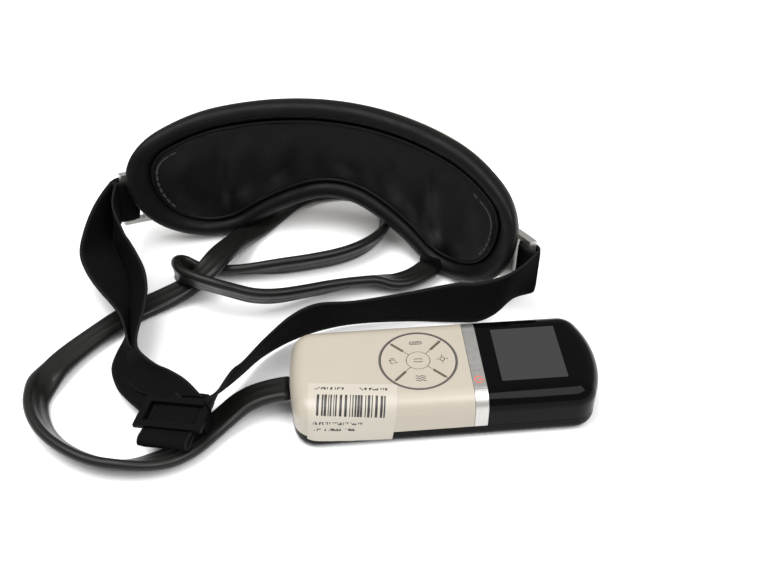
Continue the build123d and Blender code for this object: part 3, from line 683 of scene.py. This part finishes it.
LEFT_OUTER = [((-112.3, -33.0, 18.0), (-112.6, -29.0, 42.0)),
              ((-110.6, -39.5, 17.0), (-113.8, -47.0, 38.0)),
              ((-107.8, -45.2, 15.0), (-114.6, -61.5, 29.7)),
              ((-101.5, -50.9, 12.0), (-114.5, -68.4, 22.1)),
              ((-94.9, -58.5, 10.0), (-107.6, -76.4, 19.6)),
              ((-89.0, -66.8, 8.0), (-96.5, -86.3, 19.8)),
              ((-84.2, -74.9, 7.6), (-85.3, -94.7, 20.4)),
              ((-80.1, -83.4, 7.2), (-76.4, -102.1, 20.6)),
              ((-77.4, -94.4, 4.8), (-69.6, -110.8, 20.8)),
              ((-77.0, -103.1, 4.0), (-64.8, -117.2, 18.3)),
              ((-75.9, -110.6, 4.0), (-61.0, -118.8, 15.5)),
              ((-72.8, -121.7, 4.0), (-54.9, -123.0, 13.5)),
              ((-64.4, -132.7, 5.0), (-45.9, -128.8, 13.5)),
              ((-55.3, -139.6, 7.0), (-37.0, -135.4, 13.5)),
              ((-45.6, -145.7, 9.0), (-27.1, -141.1, 12.8))]
LEFT_INNER = [((-109.6, -32.0, 18.0), (-110.0, -28.6, 42.0)),
              ((-108.5, -40.5, 17.0), (-104.5, -45.0, 39.5)),
              ((-106.6, -47.3, 15.5), (-93.4, -57.5, 34.6)),
              ((-101.7, -52.6, 12.8), (-88.4, -61.5, 31.9)),
              ((-96.7, -58.5, 10.6), (-83.0, -66.2, 29.1)),
              ((-90.0, -67.5, 9.6), (-75.1, -74.8, 27.2)),
              ((-85.2, -75.7, 9.0), (-69.7, -84.1, 25.4)),
              ((-82.4, -84.1, 8.0), (-66.7, -92.1, 24.6)),
              ((-80.0, -91.6, 7.0), (-64.3, -99.7, 24.2)),
              ((-76.7, -100.2, 6.4), (-62.0, -110.6, 23.6)),
              ((-73.1, -108.0, 6.0), (-59.6, -118.7, 22.5)),
              ((-68.4, -117.9, 6.5), (-55.8, -123.6, 21.0)),
              ((-62.8, -124.8, 7.5), (-48.3, -127.3, 19.5)),
              ((-56.8, -131.6, 9.4), (-41.2, -129.1, 18.6)),
              ((-49.6, -136.0, 11.2), (-33.0, -131.4, 16.8)),
              ((-42.5, -138.7, 12.0), (-22.0, -136.1, 14.4))]
# the doubled end that comes through the slider: (along, height) in the slider's own frame
TAIL_LOOP = [(14.0, 3.0), (6.0, 2.6), (-4.0, 2.6), (-10.0, 3.4), (-14.2, 3.9), (-16.2, 2.2), (-15.0, 0.0),
             (-10.5, 0.1), (-3.0, 0.75), (6.0, 0.75), (14.0, 0.9)]
# the sewn loop round the bar of the lug: (radius, angle) about the face's axis
SLEEVE = [(151.0, 48.3), (153.3, 47.3), (154.0, 46.0), (153.9, 44.8), (152.6, 43.7), (150.6, 43.35),
          (148.6, 43.7), (147.3, 44.8), (147.2, 46.0), (147.9, 47.3), (150.2, 48.3)]
SLEEVE_LOW, SLEEVE_HIGH = 12.2, 35.3
STRAP_WIDTH = 24.0
STRAP_THICK = 1.4
WEBBING = webbing()


def smooth_line(points, steps=8):
    """Catmull-Rom curve through the points."""
    line = []
    for k in range(len(points) - 1):
        a = points[max(k - 1, 0)]
        b, c = points[k], points[k + 1]
        d = points[min(k + 2, len(points) - 1)]
        for s in range(steps):
            t = s / steps
            line.append(0.5 * (2 * b + (c - a) * t + (2 * a - 5 * b + 4 * c - d) * t * t
                               + (3 * b - a - 3 * c + d) * t ** 3))
    line.append(points[-1])
    return line


def row_point(place):
    """From the mask's upright frame, in millimetres, to the row frame in metres."""
    return (place + Vector((MASK_AT[0], MASK_AT[1], 0))) * MM


def leaning_point(place):
    return MASK_PLACE @ (place * MM)


def make_band(name, stations, to_row=row_point, width=STRAP_WIDTH, steps=8):
    """A strap through (lower edge, upper edge) stations."""
    lowers = smooth_line([Vector(low) for low, high in stations], steps)
    uppers = smooth_line([Vector(high) for low, high in stations], steps)
    middles = [(low + high) / 2 for low, high in zip(lowers, uppers)]
    columns = 8
    points = []
    uvs = []
    travelled = 0.0
    last = len(middles) - 1
    for index, middle in enumerate(middles):
        along = (middles[min(index + 1, last)] - middles[max(index - 1, 0)]).normalized()
        travelled += (middle - middles[max(index - 1, 0)]).length
        across = (uppers[index] - lowers[index]).normalized()
        normal = along.cross(across).normalized()
        for face in (1, -1):
            for k in range(columns + 1):
                v = (k / columns - 0.5) * 2 * face
                # the webbing thins towards its two edges
                edge = 1.0 - 0.45 * max(0.0, abs(v) - 0.8) / 0.2
                offset = normal * face * STRAP_THICK / 2 * edge
                place = middle + across * v * width / 2 + offset
                points.append(to_row(place))
                uvs.append((travelled * MM, v * width / 2 * MM))
    size = 2 * (columns + 1)
    faces = ring_faces(last + 1, size, closed=False)
    faces += [tuple(range(size))[::-1], tuple(range(last * size, (last + 1) * size))]
    band = new_object(name, points, faces)
    add_uv(band, uvs)
    fix_normals(band)
    dress(band, WEBBING)
    return band


def sleeve_stations(side):
    stations = []
    for radius, angle in SLEEVE:
        x = side * radius * math.sin(math.radians(angle))
        y = -FACE_RADIUS + radius * math.cos(math.radians(angle))
        stations.append(((x, y, SLEEVE_LOW), (x, y, SLEEVE_HIGH)))
    return stations


def slider_point(x, y, z):
    yaw = Matrix.Rotation(math.radians(SLIDER_YAW), 3, "Z")
    turn = yaw @ Matrix.Rotation(math.radians(SLIDER_ROLL), 3, "Y")
    return Vector(SLIDER_AT) + turn @ Vector((x, y, z))


def make_straps():
    """The right strap, the left strap's two layers, the sewn ends and the end in the slider."""
    right = make_band("strap_right_band", RIGHT_STRAP)
    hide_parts("strap_right")
    left = make_band("strap_left_outer", LEFT_OUTER)
    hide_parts("strap_left")
    make_band("strap_left_inner", LEFT_INNER)
    for side, word in ((1, "right"), (-1, "left")):
        make_band("strap_sleeve_" + word, sleeve_stations(side), leaning_point,
                  width=SLEEVE_HIGH - SLEEVE_LOW, steps=6)
    half = STRAP_WIDTH / 2 - 0.4
    loop = [(slider_point(-half, y, z), slider_point(half, y, z)) for y, z in TAIL_LOOP]
    tail = make_band("strap_tail_loop", loop, width=2 * half, steps=6)
    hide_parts("strap_tail")


# ---------------------------------------------------------------- CAD nodes and their finishes
def paint_nodes():
    """Gives every CAD node its material, and a fine bevel to the silver loops and the slider."""
    cream, silver, gloss, satin = cream_plastic(), silver_plastic(), gloss_black(), satin_black()
    steel = speckled("plated_steel", (0.55, 0.55, 0.55), 0.3, 1.0)
    board = speckled("board_green", (0.03, 0.22, 0.09), 0.45)
    white = speckled("white_plastic", (0.78, 0.78, 0.75), 0.5)
    silicone = speckled("silicone", (0.62, 0.62, 0.6), 0.4)
    looks = {
        cream: ["mask_shell", "handset_front_cover", "key_centre", "key_up", "key_down", "key_left",
                "key_right"],
        silver: ["strap_lug_left", "strap_lug_right", "trim_band_near", "trim_band_far", "power_button"],
        gloss: ["display_hood"],
        satin: ["mask_inner_frame", "mask_hose_gland", "handset_base", "battery_door", "strap_slider",
                "handset_hose_gland", "buzzer"],
        window_glass(): ["display_window"],
        speckled("lcd_grey", (0.1, 0.11, 0.11), 0.4): ["lcd_module"],
        speckled("ring_bronze", (0.12, 0.11, 0.1), 0.35, 0.4): ["keypad_ring"],
        board: ["mask_junction_board", "main_circuit_board"],
        steel: ["mask_screws", "key_switches", "battery_contacts", "battery_springs", "air_pump_motor",
                "air_pump_crank", "handset_screws", "vibration_motor_left", "vibration_motor_right"],
        white: ["air_splitter", "air_pump_head", "air_release_valve"],
        silicone: ["handset_air_tube", "mask_air_tube_left", "mask_air_tube_right"],
        speckled("cell_jacket", (0.1, 0.25, 0.5), 0.3): ["batteries"],
        speckled("brass", (0.7, 0.5, 0.2), 0.3, 1.0): ["motor_weight_left", "motor_weight_right"],
        speckled("film_amber", (0.5, 0.22, 0.04), 0.4): ["heater_film"],
        speckled("bladder_vinyl", (0.2, 0.2, 0.22), 0.4): ["air_bladder_left", "air_bladder_right"],
    }
    for material, names in looks.items():
        for name in names:
            NODES[name].data.materials.clear()
            NODES[name].data.materials.append(material)
    for name in ("strap_lug_left", "strap_lug_right", "strap_slider"):
        bevel(NODES[name], 0.6 * MM)


# ---------------------------------------------------------------- marks on the controller
HANDSET_PLACE = handset_place()
# printed marks and sticker, in millimetres and degrees in the controller's own frame
POWER_AT = (13.5, -14.0)
MARK_STROKE, POWER_STROKE = 0.36, 0.42
MARK_REACH = 11
LABEL_CORNER = (-62.0, -9.5)
LABEL_WIDTH, LABEL_HEIGHT, LABEL_TURN = 39.5, 32.0, -6.5
# half the width of the cover's flat top, and the radius of its long edges
COVER_FLAT, COVER_ROUND = 18.0, 8.5


def handset_point(x, y, z):
    return HANDSET_PLACE @ (Vector((x, y, z)) * MM)


def strokes(name, lines, width, material, body):
    """Flat printed strokes just above the controller's top; each line is a list of (x, y)."""
    points, faces, uvs = [], [], []
    for line in lines:
        start = len(points)
        line = [Vector(p) for p in line]
        last = len(line) - 1
        for index, here in enumerate(line):
            way = (line[min(index + 1, last)] - line[max(index - 1, 0)]).normalized()
            side = Vector((-way.y, way.x)) * width / 2
            for edge in (here + side, here - side):
                for z in (HANDSET_TOP + 0.05, HANDSET_TOP - 0.1):
                    points.append(handset_point(edge.x, edge.y, z))
                    uvs.append((edge.x * MM, edge.y * MM))
        for index in range(last):
            a, b = start + 4 * index, start + 4 * index + 4
            faces += [(a, a + 2, b + 2, b), (a + 1, b + 1, b + 3, a + 3), (a, b, b + 1, a + 1),
                      (a + 2, a + 3, b + 3, b + 2)]
        end = start + 4 * last
        faces += [(start, start + 1, start + 3, start + 2), (end, end + 2, end + 3, end + 1)]
    piece = new_object(name, points, faces, smooth=False)
    add_uv(piece, uvs)
    fix_normals(piece)
    dress(piece, material, body)


def arc_line(x, y, radius, start, end, steps=20):
    angles = [math.radians(start + (end - start) * k / steps) for k in range(steps + 1)]
    return [(x + radius * math.cos(a), y + radius * math.sin(a)) for a in angles]


def make_print():
    """Generic marks on the five keys and the power button."""
    ink = speckled("print_ink", (0.035, 0.033, 0.03), 0.5)
    glow = speckled("power_ink", (0.75, 0.1, 0.03), 0.45)
    px, py = POWER_AT
    ring = arc_line(px, py, 1.9, 40, 320)
    strokes("power_mark", [ring, [(px - 0.2, py), (px + 2.5, py)]], POWER_STROKE, glow, "power_button")
    k, r = KEYPAD_X, MARK_REACH
    pill = arc_line(k + 2.0, r, 0.8, -90, 90, 8) + arc_line(k - 2.0, r, 0.8, 90, 270, 8)
    strokes("mark_up", [pill + pill[:1], [(k - 1.8, r), (k + 1.8, r)]], MARK_STROKE, ink, "key_up")
    waves = [[(k + t * 0.55 - 2.2, -r + dx + 0.45 * math.sin(t * 1.57)) for t in range(9)]
             for dx in (-1.3, 0.0, 1.3)]
    strokes("mark_down", waves, MARK_STROKE, ink, "key_down")
    sun = [arc_line(k + r, 0, 1.1, 0, 360)]
    for turn in range(0, 360, 90):
        c, n = math.cos(math.radians(turn)), math.sin(math.radians(turn))
        sun.append([(k + r + 1.7 * c, 1.7 * n), (k + r + 2.6 * c, 2.6 * n)])
    strokes("mark_right", sun, MARK_STROKE, ink, "key_right")
    pot = [(k - r - 2, 1.2), (k - r + 0.6, 1.2), (k - r + 0.6, -0.6), (k - r + 1.8, -0.6)]
    side = [(k - r - 2, 1.2), (k - r - 1.2, -1.0), (k - r - 0.2, -1.0)]
    lid = [(k - r - 1.6, 2.1), (k - r + 0.2, 2.1)]
    strokes("mark_left", [pot, side, lid], MARK_STROKE, ink, "key_left")
    there = [(k - 2.0, 0.9), (k + 1.2, 0.9), (k + 2.0, 0.3)]
    back = [(k + 2.0, -0.9), (k - 1.2, -0.9), (k - 2.0, -0.3)]
    strokes("mark_centre", [there, back], MARK_STROKE, ink, "key_centre")


def way_out(normal):
    return HANDSET_PLACE.to_3x3() @ Vector(normal)


def label_guess(x, run):
    """Where the label lies, run millimetres from the controller's middle line over its edge."""
    if run < COVER_FLAT:
        return (x, -run, HANDSET_TOP), (0, 0, 1)
    angle = (run - COVER_FLAT) / COVER_ROUND
    start = HANDSET_TOP - COVER_ROUND
    if angle < math.pi / 2:
        out = (0, -math.sin(angle), math.cos(angle))
        return (x, -COVER_FLAT + COVER_ROUND * out[1], start + COVER_ROUND * out[2]), out
    down = run - COVER_FLAT - COVER_ROUND * math.pi / 2
    return (x, -COVER_FLAT - COVER_ROUND, start - down), (0, -1, 0)


def make_label():
    """A plain sticker of generic bars over the near edge of the cover."""
    turn = math.radians(LABEL_TURN)
    columns, rows = 30, 30
    points, uvs = [], []
    for r in range(rows + 1):
        for c in range(columns + 1):
            u, v = LABEL_WIDTH * c / columns, LABEL_HEIGHT * r / rows
            x = LABEL_CORNER[0] + u * math.cos(turn) + v * math.sin(turn)
            run = -LABEL_CORNER[1] - u * math.sin(turn) + v * math.cos(turn)
            guess, normal = label_guess(x, run)
            place = handset_point(*guess)
            cover = NODES["handset_front_cover" if guess[2] > 8.0 else "handset_base"]
            into, out = cover.matrix_world.inverted(), cover.matrix_world
            near = cover.closest_point_on_mesh(into @ (place + way_out(normal) * 2 * MM))[1]
            points.append(out @ near + way_out(normal) * 0.16 * MM)
            uvs.append((u * MM, v * MM))
    wide = columns + 1
    faces = [(r * wide + c, (r + 1) * wide + c, (r + 1) * wide + c + 1, r * wide + c + 1)
             for r in range(rows) for c in range(columns)]
    label = new_object("plain_label", points, faces)
    add_uv(label, uvs)
    dress(label, label_paper())


def label_paper():
    """Cream paper; u and v in metres place the printed rows."""
    paint = Paint("label_paper", LABEL, 0.4)
    split = paint.node("ShaderNodeSeparateXYZ")
    paint.links.new(paint.place("UV"), split.inputs["Vector"])
    u, v = split.outputs["X"], split.outputs["Y"]
    stripes = paint.node("ShaderNodeTexNoise", noise_dimensions="1D")
    stripes.inputs["Scale"].default_value = 900
    stripes.inputs["Detail"].default_value = 0
    paint.links.new(u, stripes.inputs["W"])
    bars = paint.maths("GREATER_THAN", stripes.outputs["Fac"], 0.5)
    marks = paint.node("ShaderNodeTexNoise", noise_dimensions="2D")
    marks.inputs["Scale"].default_value = 1000
    marks.inputs["Detail"].default_value = 0
    paint.links.new(paint.place("UV", (1, 0.35, 1)), marks.inputs["Vector"])
    dashes = paint.maths("GREATER_THAN", marks.outputs["Fac"], 0.52)
    # (pattern, from u, to u, from v, to v)
    areas = [(bars, 0.0035, 0.0350, 0.0065, 0.0165), (dashes, 0.0030, 0.0160, 0.0022, 0.0036),
             (dashes, 0.0225, 0.0355, 0.0022, 0.0036), (dashes, 0.0030, 0.0260, 0.0195, 0.0211),
             (dashes, 0.0040, 0.0230, 0.0235, 0.0251)]
    total = None
    for pattern, u0, u1, v0, v1 in areas:
        mask = paint.maths("MULTIPLY", paint.maths("GREATER_THAN", u, u0), paint.maths("LESS_THAN", u, u1))
        mask = paint.maths("MULTIPLY", mask, paint.maths("GREATER_THAN", v, v0))
        mask = paint.maths("MULTIPLY", mask, paint.maths("LESS_THAN", v, v1))
        mask = paint.maths("MULTIPLY", mask, pattern)
        total = mask if total is None else paint.maths("MAXIMUM", total, mask)
    paint.colour(paint.ramp(total, [(0.0, LABEL), (1.0, (0.02, 0.019, 0.018))]))
    return paint.material


# ---------------------------------------------------------------- the scene
def make_floor():
    size = 3.0
    corners = [(-size, -size, 0), (size, -size, 0), (size, size, 0), (-size, size, 0)]
    floor = new_object("floor", corners, [(0, 1, 2, 3)], smooth=False)
    paint = Paint("floor", (0.93, 0.93, 0.93), 0.7)
    floor.data.materials.append(paint.material)


make_camera()
make_world()
make_light("key_light", place=(-0.5, -0.2, 1.5), aim=(0, 0, 0), size=1.2, power=28)
make_light("fill_light", place=(0.8, -0.5, 1.3), aim=(0, 0, 0), size=1.0, power=18)
make_floor()
make_hose()
paint_nodes()
make_rim()
finish_liner(make_liner())
make_stitches()
make_straps()
make_print()
make_label()
